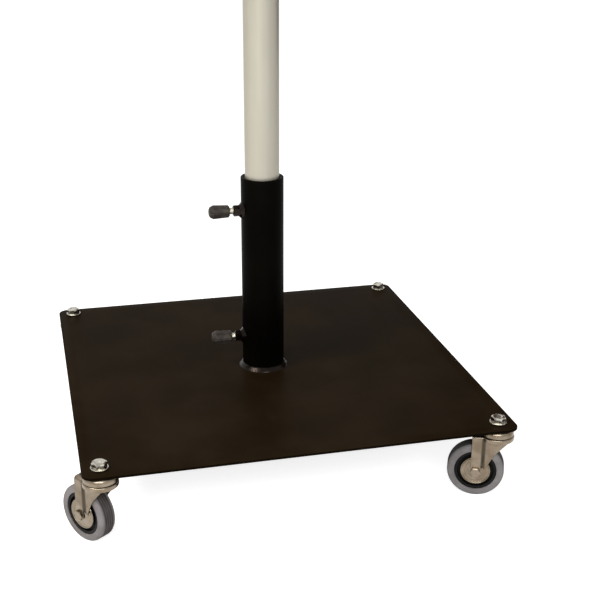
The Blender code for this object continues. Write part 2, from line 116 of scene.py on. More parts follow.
def rounded(outline, closed, steps=4):
    """A flat outline whose corners (x, y, radius) become arcs; corners (x, y) stay sharp."""
    points = []
    for i, corner in enumerate(outline):
        here = Vector(corner[:2])
        radius = corner[2] if len(corner) > 2 else 0
        if not radius or (not closed and i in (0, len(outline) - 1)):
            points.append(here)
            continue
        back = (Vector(outline[i - 1][:2]) - here).normalized()
        ahead = (Vector(outline[(i + 1) % len(outline)][:2]) - here).normalized()
        half = back.angle(ahead) / 2
        centre = here + (back + ahead).normalized() * radius / math.sin(half)
        start = here + back * radius / math.tan(half) - centre
        end = here + ahead * radius / math.tan(half) - centre
        for step in range(steps + 1):
            points.append(centre + radius * start.slerp(end, step / steps).normalized())
    return points


def mended(bm):
    """The bmesh with its seams and poles closed, no loose edges and its faces turned outwards."""
    bmesh.ops.remove_doubles(bm, verts=bm.verts, dist=SEAM_GAP)
    bmesh.ops.delete(bm, geom=[edge for edge in bm.edges if not edge.link_faces], context="EDGES")
    bmesh.ops.recalc_face_normals(bm, faces=bm.faces)
    return bm


def turned(outline, steps=64):
    """An outline of (radius, height) points turned about Z; it is solid if it starts on the axis."""
    closed = outline[0][0] > 0
    bm = bmesh.new()
    points = [bm.verts.new((radius, 0, height)) for radius, height in rounded(outline, closed)]
    edges = [bm.edges.new(pair) for pair in zip(points, points[1:])]
    if closed:
        edges.append(bm.edges.new((points[-1], points[0])))
    bmesh.ops.spin(bm, geom=points + edges, axis=(0, 0, 1), angle=TURN, steps=steps, use_merge=True)
    return mended(bm)


def mesh_of(name, bm, sharp=30):
    """The bmesh as a mesh, smooth but for the edges sharper than an angle in degrees."""
    mesh = bpy.data.meshes.new(name)
    bm.to_mesh(mesh)
    bm.free()
    mesh.shade_smooth()
    mesh.set_sharp_from_angle(angle=math.radians(sharp))
    return mesh


made = []


def fit(name, mesh, body, node, finish, matrix=Matrix.Identity(4)):
    """Puts a mesh in its place as a piece that rides on a body instead of a CAD node."""
    placed = mesh.copy()
    placed.transform(matrix)
    placed.materials.clear()
    placed.materials.append(finish)
    piece = linked(name, placed)
    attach(piece, body)
    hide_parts(node)
    made.append(piece)
    return piece


# %% [markdown]
# ## Hexagons and threads
#
# Bolts and nuts start as turned blanks, as on a real machine, and then get their flats. Each vertex
# on the blank's side moves out to a hexagon, and as far down as the 30 degree chamfer has fallen
# there, which draws the curved edge that every real hexagon head has. A forged head may also have a
# shallow dish in its top. A thread is made in the same way: the rings of a turned rod move in and out
# with their height and angle, one pitch to a turn.

# %% Hexagons and threads
CHAMFER_SLOPE = math.tan(math.radians(30))
CHAMFER_START = 0.86  # this and the next four are shares of the distance to a flat
SIDE_START = 1.02
BLANK_SIDE = 1.15
DISH_RIM = 0.66
DISH_FLOOR = 0.44
BORE_LEAD = 0.6 * MM
THREAD_RINGS = 8  # to a pitch
THREAD_DEPTH = 0.58  # of the pitch
THREAD_CREST = 0.1  # of a slope, which stays level


def hexagon_reach(angle, across_flats):
    """How far a hexagon with a corner on +X reaches at an angle."""
    sixth = TURN / 6
    return across_flats / 2 / math.cos((angle % sixth) - sixth / 2)


def hexed(bm, across_flats, low, high, bottom=False):
    """Presses a turned blank's side into six flats, under a chamfer at its top and maybe its bottom."""
    flat = across_flats / 2
    for vert in bm.verts:
        radius = math.hypot(vert.co.x, vert.co.y)
        if radius < flat * SIDE_START:
            continue
        reach = hexagon_reach(math.atan2(vert.co.y, vert.co.x), across_flats)
        fall = (reach - flat * CHAMFER_START) * CHAMFER_SLOPE
        height = min(vert.co.z, high - fall)
        if bottom:
            height = max(height, low + fall)
        vert.co = (vert.co.x * reach / radius, vert.co.y * reach / radius, height)
    return bm


def hex_blank(across_flats, low, high, bore=0.0, bottom=False, dish=0.0):
    """A hexagon head with a dish in its top, or a nut if it has a bore, with its chamfers."""
    flat = across_flats / 2
    corner = flat * BLANK_SIDE
    foot = [(flat * CHAMFER_START, low), (corner, low)] if bottom else [(corner, low)]
    outline = [*foot, (corner, high), (flat * CHAMFER_START, high)]
    if bore:
        outline = [
            (bore, low + BORE_LEAD),
            (bore + BORE_LEAD, low),
            *outline,
            (bore + BORE_LEAD, high),
            (bore, high - BORE_LEAD),
        ]
    else:
        if dish:
            outline += [(flat * DISH_RIM, high, 0.3 * MM), (flat * DISH_FLOOR, high - dish, 0.8 * MM)]
        outline = [(0, low), *outline, (0, high - dish)]
    return hexed(turned(outline, 72), across_flats, low, high, bottom)


def threaded(radius, pitch, low, high, stop, lead):
    """A rod with a lead-in on both of its ends and a thread from its low end up to a stop."""
    rings = round((stop - low) / pitch * THREAD_RINGS)
    heights = [low + (stop - low) * i / rings for i in range(rings + 1)]
    outline = [(0, low), (radius - lead, low), (radius, low + lead)]
    outline += [(radius, height) for height in heights if low + lead < height < high - lead]
    outline += [(radius, high - lead), (radius - lead, high), (0, high)]
    bm = turned(outline, 32)
    depth = THREAD_DEPTH * pitch
    margin = pitch / THREAD_RINGS
    for vert in bm.verts:
        x, y, z = vert.co
        reach = math.hypot(x, y)
        if reach < radius / 2 or not low - margin <= z <= stop + margin:
            continue
        phase = (z / pitch - math.atan2(y, x) / TURN) % 1
        crest = max(0.0, abs(2 * phase - 1) - THREAD_CREST) / (1 - THREAD_CREST)
        cut = radius - depth * crest
        if reach > cut:
            vert.co = (x * cut / reach, y * cut / reach, z)
    return bm


def added(*parts):
    """Several bmeshes as one."""
    whole = bmesh.new()
    for part in parts:
        mesh = bpy.data.meshes.new("part")
        part.to_mesh(mesh)
        part.free()
        whole.from_mesh(mesh)
        bpy.data.meshes.remove(mesh)
    return whole


# %% [markdown]
# ## Shader maths
#
# A finish here is a Principled shader whose colour, roughness and bump vary over the surface. Wiring
# nodes by hand hides the sums in a tangle, so a small class wraps a socket and lets a material be
# written as plain arithmetic. Every other node comes from one method that sets and links it at once.

# %% A finish and its sums
class Value:
    """A socket of a finish that takes part in sums; each sum adds a Math node."""

    def __init__(self, finish, socket):
        self.finish = finish
        self.socket = socket

    def sum(self, operation, first, second):
        return self.finish.node("ShaderNodeMath", {"operation": operation}, {0: first, 1: second})

    def __add__(self, other):
        return self.sum("ADD", self, other)

    def __mul__(self, other):
        return self.sum("MULTIPLY", self, other)

    __radd__ = __add__
    __rmul__ = __mul__

    def between(self, low, high):
        """0 below low and 1 above high, with a smooth step."""
        settings = {"interpolation_type": "SMOOTHSTEP"}
        return self.finish.node("ShaderNodeMapRange", settings, {0: self, 1: low, 2: high})


class Nodes:
    """The node tree of a material or a world, around its one shader."""

    def __init__(self, owner, shader):
        owner.use_nodes = True
        self.owner = owner
        self.tree = owner.node_tree
        self.shader = self.tree.nodes[shader]

    def node(self, kind, settings, inputs, output=0):
        """A node with its settings and its inputs, and one of its outputs as a value."""
        node = self.tree.nodes.new(kind)
        for setting, value in settings.items():
            setattr(node, setting, value)
        for key, value in inputs.items():
            if isinstance(value, Value):
                self.tree.links.new(value.socket, node.inputs[key])
            else:
                node.inputs[key].default_value = value
        return Value(self, node.outputs[output])

    def set(self, **inputs):
        """Gives inputs of the shader, named with _ for a space, a value or a link."""
        for key, value in inputs.items():
            socket = self.shader.inputs[key.replace("_", " ")]
            if isinstance(value, Value):
                self.tree.links.new(value.socket, socket)
            else:
                socket.default_value = value


class Finish(Nodes):
    """A named Principled material with helpers for its textures."""

    def __init__(self, name, **constants):
        super().__init__(bpy.data.materials.new(name), "Principled BSDF")
        self.set(**constants)
        self.place = self.node("ShaderNodeTexCoord", {}, {}, "Object")

    def noise(self, size, detail=3.0, stretch=(1, 1, 1), shift=0.0):
        """Noise whose blobs are about size metres across."""
        spot = self.node("ShaderNodeMapping", {}, {0: self.place, 1: (shift, shift, shift), 3: stretch})
        return self.node("ShaderNodeTexNoise", {}, {0: spot, "Scale": 0.5 / size, "Detail": detail})

    def mix(self, factor, first, second):
        """A colour between two colours."""
        first = first if isinstance(first, Value) else (*first, 1)
        second = second if isinstance(second, Value) else (*second, 1)
        return self.node("ShaderNodeMix", {"data_type": "RGBA"}, {0: factor, 6: first, 7: second}, 2)

    def attribute(self, name):
        """What the mesh holds under a name, or 0 where it holds nothing."""
        return self.node("ShaderNodeAttribute", {"attribute_name": name}, {}, "Fac")

    def bump(self, height, distance, strength=1.0):
        """Feeds a height, 0 to 1, of so many metres to the shader's normal."""
        inputs = {"Height": height, "Distance": distance, "Strength": strength}
        self.set(Normal=self.node("ShaderNodeBump", {}, inputs))


# %% [markdown]
# ## Black paint
#
# The deck, the socket and the welds wear a thin satin black with a warm cast. Such paint is never one
# black: it dries in soft patches, shows a fine orange peel, and dust settles on a deck that people
# stand on. So large noise shifts the colour, small noise makes the peel, and the specular level is
# kept low, because a bright studio would otherwise wash a satin black out to grey. The cut side of a
# plate faces away from the lamps, so a mesh can mark it with an edge value that darkens it as painted
# shade. The welds shine through their thin coat, so their black is mostly metallic.

# %% Black paint
# The black of the painted shade on a plate's side.
EDGE_SHADE_BLACK = (0.0016, 0.0010, 0.0005)


def black_paint(name, dark, light, roughness, specular, peel, metallic=0.0):
    """A warm black between two colours, with an orange peel of so many metres."""
    finish = Finish(name, IOR=1.45, Specular_IOR_Level=specular, Metallic=metallic)
    patches = finish.noise(60 * MM, 4).between(0.35, 0.7)
    scuffs = finish.noise(9 * MM, 6, (1, 0.25, 1), 3.1).between(0.55, 0.75)
    # The edge value darkens a plate's side: painted shade, as that side faces away from the lamps.
    finish.set(
        Base_Color=finish.mix(
            finish.attribute("edge") * 0.75,
            finish.mix(patches * 0.8 + scuffs * 0.2, dark, light),
            EDGE_SHADE_BLACK,
        ),
        Roughness=roughness + patches * 0.06 + scuffs * 0.08,
    )
    finish.bump(finish.noise(1.1 * MM, 2) * 0.8 + finish.noise(14 * MM, 2) * 0.2, peel)
    return finish.owner


deck_black = black_paint(
    "deck black paint",
    dark=(0.0115, 0.0070, 0.0030),
    light=(0.0200, 0.0130, 0.0068),
    roughness=0.40,
    specular=0.007,
    peel=0.02 * MM,
)
socket_black = black_paint(
    "socket black paint",
    dark=(0.0012, 0.0010, 0.0007),
    light=(0.0026, 0.0022, 0.0015),
    roughness=0.36,
    specular=0.015,
    peel=0.015 * MM,
)
weld_black = black_paint(
    "weld black paint",
    dark=(0.012, 0.009, 0.008),
    light=(0.026, 0.022, 0.019),
    roughness=0.20,
    specular=0.1,
    peel=0.01 * MM,
    metallic=0.9,
)
print("paints:", ", ".join(paint.name for paint in (deck_black, socket_black, weld_black)))

# %% [markdown]
# ## Zinc, alloy and brass
#
# The castors are pressed from zinc plated sheet, which is grey with a warm, cloudy passivation, and
# the step in each fork leg is darkened as painted shade. The bolts are plated brighter, the studs
# brighter still, and the thrust pads are plain brass. One function makes all four, told apart by
# colour, roughness and the size of their clouds. The pole is drawn alloy: its satin skin has faint
# lines along its length from the die, so its noise is stretched along Z.

# %% Metals
# The colour of the painted shade in the fork legs' steps.
STEP_SHADE = (0.035, 0.028, 0.022)


def zinc(name, dull, bright, roughness, cloud):
    """Plated steel that clouds between two colours over a given size, with painted shade where marked."""
    finish = Finish(name, Metallic=1.0)
    clouds = finish.noise(cloud, 4).between(0.3, 0.72)
    specks = finish.noise(0.7 * MM, 2, shift=1.7).between(0.5, 0.8)
    # Painted shade: where a mesh marks it, the plating turns darker and rougher.
    step_shade = finish.attribute("step_shade") * (0.8 + clouds * 0.2)
    finish.set(
        Base_Color=finish.mix(step_shade, finish.mix(clouds, dull, bright), STEP_SHADE),
        Roughness=roughness + clouds * 0.08 + specks * 0.10 + step_shade * 0.2,
    )
    finish.bump(finish.noise(0.9 * MM, 3) * 0.6 + clouds * 0.4, 0.02 * MM)
    return finish.owner


castor_zinc = zinc("castor zinc plating", (0.155, 0.122, 0.084), (0.240, 0.198, 0.150), 0.20, 8 * MM)
bolt_zinc = zinc("bolt zinc plating", (0.26, 0.245, 0.205), (0.66, 0.62, 0.54), 0.15, 2.5 * MM)
stud_zinc = zinc("stud zinc plating", (0.62, 0.60, 0.52), (0.82, 0.80, 0.72), 0.20, 4 * MM)
brass = zinc("turned brass", (0.42, 0.28, 0.10), (0.62, 0.44, 0.20), 0.28, 3 * MM)


def drawn_alloy():
    finish = Finish("drawn alloy", Metallic=0.55, Specular_IOR_Level=0.3)
    lines = finish.noise(1.2 * MM, 3, (1, 1, 0.004))
    bands = finish.noise(9 * MM, 2, (1, 1, 0.02), 2.3).between(0.3, 0.7)
    smears = finish.noise(25 * MM, 3, (1, 1, 0.3), 5.9).between(0.4, 0.75)
    finish.set(
        Base_Color=finish.mix(bands * 0.6 + smears * 0.4, (0.38, 0.355, 0.29), (0.465, 0.44, 0.37)),
        Roughness=0.36 + lines * 0.10 + smears * 0.06,
    )
    finish.bump(lines, 0.02 * MM, 0.6)
    return finish.owner


alloy = drawn_alloy()
print("metals:", ", ".join(metal.name for metal in (castor_zinc, bolt_zinc, stud_zinc, brass, alloy)))

# %% [markdown]
# ## Rubber and plastic
#
# The tyres are a grey compound that does not mark floors. Their flanks are clean, and their treads
# have picked up dirt, so the mesh carries a tread value from 0 on the flank to 1 on the tread and the
# finish darkens with it. A streak value draws the tread's lines: dark in the grooves and paler on the
# ribs. The wheel centres and knobs are black mouldings with a fine spark grain.

# %% Rubber and plastic
def grey_rubber():
    finish = Finish("grey rubber", Specular_IOR_Level=0.12)
    tread = finish.attribute("tread")
    cloud = finish.noise(12 * MM, 4)
    dirt = tread * (0.75 + cloud.between(0.3, 0.7) * 0.25)
    worn = finish.mix(finish.attribute("streak"), (0.024, 0.021, 0.020), (0.070, 0.062, 0.058))
    flank = finish.mix(cloud.between(0.35, 0.65), (0.172, 0.160, 0.158), (0.225, 0.212, 0.210))
    finish.set(
        Base_Color=finish.mix(dirt, flank, worn),
        Roughness=0.72 + dirt * 0.12,
    )
    finish.bump(finish.noise(0.8 * MM, 3), 0.03 * MM)
    return finish.owner


def black_plastic(name, dark, light, specular, roughness):
    finish = Finish(name, Specular_IOR_Level=specular)
    worn = finish.noise(5 * MM, 5).between(0.45, 0.75)
    finish.set(
        Base_Color=finish.mix(worn, dark, light),
        Roughness=roughness + worn * 0.1,
    )
    finish.bump(finish.noise(0.35 * MM, 2), 0.02 * MM)
    return finish.owner


rubber = grey_rubber()
wheel_black = black_plastic(
    "wheel black plastic",
    dark=(0.004, 0.0038, 0.0036),
    light=(0.008, 0.0075, 0.007),
    specular=0.1,
    roughness=0.5,
)
knob_black = black_plastic(
    "knob black plastic",
    dark=(0.034, 0.028, 0.024),
    light=(0.078, 0.066, 0.057),
    specular=0.1,
    roughness=0.36,
)
print("mouldings:", ", ".join(finish.name for finish in (rubber, wheel_black, knob_black)))

# %% [markdown]
# ## Deck
#
# The deck is one square of steel plate with rounded corners. A single face gets its corners by a
# vertex bevel and its thickness by an extrusion, and a narrow bevel along both rims stands for the
# edge that deburring and thick paint leave. Four holes let the castor bolts through. The side of the
# plate then gets the edge value, which the paint turns into painted shade.

# %% Deck
CORNER_RADIUS = 15 * MM
EDGE_EASE = 0.5 * MM
EDGE_SHADE_BAND = 0.3 * MM
BOLT_HOLE = 6.6 * MM

joints = {joint["name"]: joint for joint in frame["joints"]}
CORNERS = ("front_left", "front_right", "rear_left", "rear_right")
spots = {corner: Vector(joints[corner + "_swivel"]["pos_m"]) for corner in CORNERS}


def combined(name, steps, finishing=()):
    """The first bmesh with each (operation, bmesh) applied to it, and then some modifiers."""
    body = linked(name, mesh_of(name, steps[0]))
    helpers = [body]
    for operation, tool in steps[1:]:
        helper = linked("tool", mesh_of("tool", tool))
        helpers.append(helper)
        step = body.modifiers.new(operation, "BOOLEAN")
        step.operation = operation
        step.object = helper
    for kind, settings in finishing:
        step = body.modifiers.new(kind, kind)
        for setting, value in settings.items():
            setattr(step, setting, value)
    evaluated = body.evaluated_get(bpy.context.evaluated_depsgraph_get())
    result = bmesh.new()
    result.from_mesh(evaluated.to_mesh())
    for helper in helpers:
        bpy.data.objects.remove(helper)
    return result


def drill(radius, low, high, matrix):
    """A round rod to cut a hole with."""
    bm = turned([(0, low), (radius, low), (radius, high), (0, high)], 32)
    bm.transform(matrix)
    return bm


def extruded(bm, faces, way):
    """Gives a thickness to flat faces of the bmesh and mends it."""
    grown = bmesh.ops.extrude_face_region(bm, geom=faces)["geom"]
    bmesh.ops.translate(bm, verts=[part for part in grown if isinstance(part, bmesh.types.BMVert)], vec=way)
    return mended(bm)


def deck_plate():
    bm = bmesh.new()
    side = deck_high.x - deck_low.x
    rise = deck_high.z - deck_low.z
    bevel = {"offset_type": "OFFSET", "profile": 0.5, "material": -1}
    bmesh.ops.create_grid(bm, x_segments=1, y_segments=1, size=side / 2)
    bmesh.ops.bevel(bm, geom=bm.verts[:], affect="VERTICES", offset=CORNER_RADIUS, segments=10, **bevel)
    extruded(bm, bm.faces[:], (0, 0, rise))
    rims = [edge for edge in bm.edges if abs(edge.verts[0].co.z - edge.verts[1].co.z) < rise / 2]
    bmesh.ops.bevel(bm, geom=rims, affect="EDGES", offset=EDGE_EASE, segments=3, **bevel)
    bmesh.ops.translate(bm, verts=bm.verts, vec=(0, 0, deck_low.z))
    steps = [bm]
    for spot in spots.values():
        hole = drill(BOLT_HOLE, deck_low.z - MM, deck_high.z + MM, Matrix.Translation((spot.x, spot.y, 0)))
        steps.append(("DIFFERENCE", hole))
    mesh = mesh_of("deck", combined("deck", steps))
    # The plate's side gets the edge value, which the paint turns into painted shade.
    edge = mesh.attributes.new("edge", "FLOAT", "POINT")
    for vert, value in zip(mesh.vertices, edge.data):
        value.value = 1.0 if deck_low.z + EDGE_SHADE_BAND < vert.co.z < deck_high.z - EDGE_SHADE_BAND else 0.0
    return mesh


fit("deck", deck_plate(), "deck_assembly", "deck_plate", deck_black)
print("deck", len(made[-1].data.polygons), "faces")

# %% [markdown]
# ## Socket and pole
#
# Both are lengths of tube, sawn square and deburred. They are turned with small radii at their ends,
# and the socket has a hole for each hand screw. The fillet weld round the socket's foot is a turned
# bead whose surface swells and sinks along its length, as a weld pool leaves it when it freezes.

# %% Socket and pole
SOCKET_WALL = 5 * MM
POLE_WALL = 3.2 * MM
SCREW_HOLE = 5.3 * MM
WELD_LEG = 5.7 * MM
RIPPLE_PITCH = 3.2 * MM
RIPPLE_HEIGHT = 0.04  # mm, as the next
SWELL_HEIGHT = 0.16
SWELLS = 5

socket_low, socket_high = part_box("pole_socket")
pole_low, pole_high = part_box("pole")
socket_radius = (socket_high.y - socket_low.y) / 2
pole_radius = (pole_high.y - pole_low.y) / 2
screw_heights = {side: joints[side + "_clamp_turn"]["pos_m"][2] for side in ("upper", "lower")}


def tube(name, radius, wall, low, high, ease, holes=()):
    """A length of tube with eased ends, and holes cut through its wall."""
    inner = radius - wall
    outline = [(inner, low, ease), (radius, low, ease), (radius, high, ease), (inner, high, ease)]
    steps = [turned(outline, 128)]
    steps += [("DIFFERENCE", hole) for hole in holes]
    return mesh_of(name, combined(name, steps))


def along_screw(height):
    """From a piece made about Z to the screw's axis, with Z pointing to -X."""
    return Matrix.Translation((0, 0, height)) @ Matrix.Rotation(-math.pi / 2, 4, "Y")


screw_holes = [
    drill(SCREW_HOLE, 0, 2 * socket_radius, along_screw(height)) for height in screw_heights.values()
]
socket = tube("socket", socket_radius, SOCKET_WALL, socket_low.z, socket_high.z, 0.7 * MM, screw_holes)
pole = tube("pole_tube", pole_radius, POLE_WALL, pole_low.z, pole_high.z, 0.5 * MM)
fit("socket", socket, "deck_assembly", "pole_socket", socket_black)
fit("pole_tube", pole, "pole_tube", "pole", alloy)


def foot_weld():
    inner = socket_radius + 0.05 * MM
    foot = socket_low.z - 0.2 * MM
    outline = [
        (inner, foot),
        (inner + WELD_LEG, foot),
        (inner + WELD_LEG * 0.86, foot + WELD_LEG * 0.22, 1.2 * MM),
        (inner + WELD_LEG * 0.24, foot + WELD_LEG * 0.84, 1.2 * MM),
        (inner, foot + WELD_LEG),
    ]
    bm = turned(outline, 360)
    ripples = round(TURN * socket_radius / RIPPLE_PITCH)
    for vert in bm.verts:
        radius = math.hypot(vert.co.x, vert.co.y)
        rise = (vert.co.z - foot) / WELD_LEG
        if radius < inner + 0.1 * MM or rise < 0.05:
            continue
        angle = math.atan2(vert.co.y, vert.co.x)
        ripple = math.cos(ripples * angle + 3 * rise) * RIPPLE_HEIGHT
        swell = math.cos(SWELLS * angle + 1) * SWELL_HEIGHT
        push = (ripple + swell) * math.sin(math.pi * min(1, rise)) * MM
        vert.co = (vert.co.x * (1 + push / radius), vert.co.y * (1 + push / radius), vert.co.z + push)
    return mesh_of("foot_weld", bm)


fit("foot_weld", foot_weld(), "deck_assembly", "socket_weld", weld_black)
print("socket, pole and weld", [len(piece.data.polygons) for piece in made[-3:]], "faces")

# %% [markdown]
# ## Weld nuts
#
# A long nut is welded to the side of the socket for each hand screw. Its foot and its weld bead hug
# the round tube. A boolean against the socket would leave a thin, ragged rim, so both are turned on a
# flat foot, and then each vertex drops onto the socket's curve, less and less above the weld.

# %% Weld nuts
NUT_FLATS = 15 * MM
NUT_WELD = 4.2 * MM
NUT_SETTLE = 4 * MM  # above the weld, over which the drop fades out
STUD_RADIUS = 5 * MM

nut_low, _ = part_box("upper_weld_nut")
nut_end = -nut_low.x


def weld_nut():
    surface = socket_radius
    corner = NUT_FLATS / math.sqrt(3)
    inner = corner - 2.2 * MM
    sunk = surface - 0.4 * MM
    body = hex_blank(NUT_FLATS, surface - 1.5 * MM, nut_end, STUD_RADIUS + 0.25 * MM)
    outline = [
        (inner, sunk),
        (corner + NUT_WELD, sunk),
        (corner + NUT_WELD, surface + 0.3 * MM, 0.3 * MM),
        (corner + NUT_WELD * 0.45, surface + NUT_WELD * 0.42, 2.0 * MM),
        (corner - 0.2 * MM, surface + NUT_WELD),
        (inner, surface + NUT_WELD),
    ]
    bead = turned(outline, 96)
    for vert in bead.verts:
        angle = math.atan2(vert.co.y, vert.co.x)
        radius = math.hypot(vert.co.x, vert.co.y)
        if radius > corner:
            swell = 1 + 0.012 * math.cos(19 * angle) + 0.02 * math.cos(3 * angle + 2)
            vert.co.x *= swell
            vert.co.y *= swell
    both = added(body, bead)
    for vert in both.verts:
        drop = surface - math.sqrt(surface**2 - min(vert.co.y**2, surface**2 * 0.9))
        share = max(0.0, min(1.0, 1 - (vert.co.z - surface - NUT_WELD) / NUT_SETTLE))
        vert.co.z -= drop * share
    return mesh_of("weld_nut", both)


# %% [markdown]
# ## Studs, pads and knobs
#
# A threaded stud turns in each nut. It is moulded into a black knob, and a loose brass pad between it
# and the pole spares the alloy. Eight cutters could flute the knob, but here it is turned first, with
# its taper towards the nut, its short collar and its domed end. Then eight narrow grooves sink into
# its side, the lobes between them are flattened a little, and both fade out on the shoulders.

# %% Studs, pads and knobs
STUD_PITCH = 1.5 * MM
KNOB_CAP = 8 * MM  # the plastic beyond the stud's end
KNOB_RADIUS = 10.7 * MM
KNOB_FOOT_RADIUS = 9.6 * MM
KNOB_COLLAR = 7.8 * MM
KNOB_COLLAR_LENGTH = 1.5 * MM
KNOB_SHOULDER = 6.5 * MM
FLUTES = 8
FLUTE_DEPTH = 1.2 * MM
FLUTE_HALF_ANGLE = 5.5
FACE_FLATNESS = 0.55  # of a lobe, where 1 is a flat facet

knob_low, knob_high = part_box("upper_clamp_knob")
knob_foot, knob_end = -knob_high.x, -knob_low.x
stud_low, stud_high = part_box("upper_clamp_stud")
pad_low, pad_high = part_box("upper_clamp_pad")


def knob():
    foot = knob_foot + KNOB_COLLAR_LENGTH
    shoulder = knob_end - KNOB_SHOULDER
    hollow = STUD_RADIUS + 0.1 * MM
    outline = [(hollow, knob_foot), (KNOB_COLLAR, knob_foot, 0.5 * MM), (KNOB_COLLAR, foot, 0.2 * MM)]
    outline += [(KNOB_FOOT_RADIUS - 0.3 * MM, foot, 0.4 * MM), (KNOB_FOOT_RADIUS, foot + MM, 0.6 * MM)]
    for share in (0.2, 0.4, 0.6, 0.8):
        radius = KNOB_FOOT_RADIUS + (KNOB_RADIUS - KNOB_FOOT_RADIUS) * share
        outline.append((radius, foot + MM + (shoulder - foot - MM) * share))
    outline += [
        (KNOB_RADIUS, shoulder, 1.2 * MM),
        (KNOB_RADIUS * 0.72, knob_end - 1.5 * MM, 2.0 * MM),
        (KNOB_RADIUS * 0.45, knob_end, 1.2 * MM),
        (0, knob_end),
        (0, knob_end - KNOB_CAP),
        (hollow, knob_end - KNOB_CAP),
    ]
    bm = turned(outline, 160)
    lobe = TURN / FLUTES
    half = math.radians(FLUTE_HALF_ANGLE)
    for vert in bm.verts:
        x, y, z = vert.co
        radius = math.hypot(x, y)
        share = max(0.0, min(1.0, (radius - KNOB_COLLAR) / (KNOB_FOOT_RADIUS - KNOB_COLLAR)))
        if not share or z < foot + 0.2 * MM:
            continue
        off = abs((math.atan2(y, x) + lobe / 2) % lobe - lobe / 2)
        groove = FLUTE_DEPTH * math.exp(-((off / half) ** 4))
        chord = radius * (1 - math.cos(lobe / 2) / math.cos(off - lobe / 2)) * FACE_FLATNESS
        cut_back = max(groove, chord) * share
        vert.co = (x * (1 - cut_back / radius), y * (1 - cut_back / radius), z)
    return mesh_of("knob", bm, 35)


def stud():
    low, high = -stud_high.x, -stud_low.x
    return mesh_of("stud", threaded(STUD_RADIUS, STUD_PITCH, low, high, high, 0.8 * MM), 50)


def pad():
    low, high = -pad_high.x, -pad_low.x
    radius = (pad_high.y - pad_low.y) / 2
    outline = [(0, low), (radius, low, 0.5 * MM), (radius, high, 0.3 * MM), (0, high)]
    return mesh_of("pad", turned(outline, 48))


nut_mesh, stud_mesh, pad_mesh, knob_mesh = weld_nut(), stud(), pad(), knob()
for side, height in screw_heights.items():
    lie = along_screw(height)
    clamp = side + "_clamp"
    fit(f"{side}_nut", nut_mesh, "deck_assembly", f"{side}_weld_nut", weld_black, lie)
    fit(f"{side}_pad", pad_mesh, f"{clamp}_tip", f"{clamp}_pad", brass, lie)
    fit(f"{side}_stud", stud_mesh, f"{clamp}_screw", f"{clamp}_stud", stud_zinc, lie)
    fit(f"{side}_knob", knob_mesh, f"{clamp}_screw", f"{clamp}_knob", knob_black, lie)
print("hand screw", [len(piece.data.polygons) for piece in made[-4:]], "faces")

# %% [markdown]
# ## Castor bolts
#
# An M12 bolt, a washer and a nut hold each castor under the deck. The head is forged, so it has a
# chamfer and a shallow dish, which catch the light as the real ones do. The pieces could be made four
# times in place. They are made once instead, about the Z axis, and copied to the corners later.

# %% Castor bolts
BOLT_FLATS = 18 * MM
BOLT_RADIUS = 6 * MM
BOLT_PITCH = 1.75 * MM
BOLT_THREAD = 22 * MM
HEAD_DISH = 0.5 * MM


def levels(piece):
    """The lowest and highest level of a castor piece, and its radius."""
    low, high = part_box("front_left_" + piece)
    return low.z, high.z, (high.y - low.y) / 2


bolt_low, bolt_high, _ = levels("bolt")
washer_low, washer_high, washer_radius = levels("washer")
nut_foot, nut_top, _ = levels("bolt_nut")
HEAD_SEAT = washer_high + 0.3 * MM


def castor_bolt():
    head = hex_blank(BOLT_FLATS, HEAD_SEAT, bolt_high, dish=HEAD_DISH)
    shank = threaded(
        BOLT_RADIUS, BOLT_PITCH, bolt_low, HEAD_SEAT + MM, stop=bolt_low + BOLT_THREAD, lead=0.7 * MM
    )
    return mesh_of("castor_bolt", added(head, shank), 25)


def castor_washer():
    edge = 0.5 * MM
    outline = [(BOLT_HOLE, washer_low, 0.2 * MM), (washer_radius, washer_low, edge)]
    outline += [(washer_radius, washer_high, edge), (BOLT_HOLE, washer_high, 0.2 * MM)]
    return mesh_of("castor_washer", turned(outline, 96))


def castor_nut():
    nut = hex_blank(BOLT_FLATS, nut_foot, nut_top, BOLT_RADIUS + 0.2 * MM, True)
    return mesh_of("castor_nut", nut, 25)


# %% [markdown]
# ## Swivel heads
#
# Under the deck a pressed cup turns the load into a ring of caged balls that run on the fork's crown,
# and a hollow kingpin with a flange holds cup and crown together. All of it is round, so it is turned
# from outlines. The cup's shoulder has the large radius that a press gives it, and the balls are
# plain icospheres, because the cup hides nearly all of them.

# %% Swivel heads
CUP_WALL = 2.5 * MM
CUP_SHOULDER = 8 * MM
BALL_RADIUS = 3 * MM
BALL_COUNT = 10
CAGE_HALF = 0.75 * MM
PIN_WALL = 2.2 * MM
PIN_FLANGE = 2 * MM

cup_low, cup_high, cup_radius = levels("swivel_cup")
pin_low, pin_high, pin_radius = levels("kingpin")
race_low, race_high, race_radius = levels("ball_race")
BALL_TRACK = race_radius - BALL_RADIUS


def swivel_cup():
    inner = cup_radius - CUP_WALL
    ceiling = cup_high - CUP_WALL
    outline = [
        (inner, cup_low, 0.8 * MM),
        (cup_radius, cup_low, 0.8 * MM),
        (cup_radius, cup_high, CUP_SHOULDER),
        (BOLT_HOLE, cup_high, 0.4 * MM),
        (BOLT_HOLE, ceiling),
        (BALL_TRACK - 2 * MM, ceiling),
        (inner, ceiling, CUP_SHOULDER - CUP_WALL),
    ]
    return mesh_of("swivel_cup", turned(outline, 96))


def kingpin():
    outer = BOLT_HOLE + PIN_WALL
    outline = [
        (BOLT_HOLE, pin_low, 0.5 * MM),
        (pin_radius, pin_low, 0.7 * MM),
        (pin_radius, pin_low + PIN_FLANGE, 0.7 * MM),
        (outer, pin_low + PIN_FLANGE, 0.3 * MM),
        (outer, pin_high),
        (BOLT_HOLE, pin_high),
    ]
    return mesh_of("kingpin", turned(outline, 64))


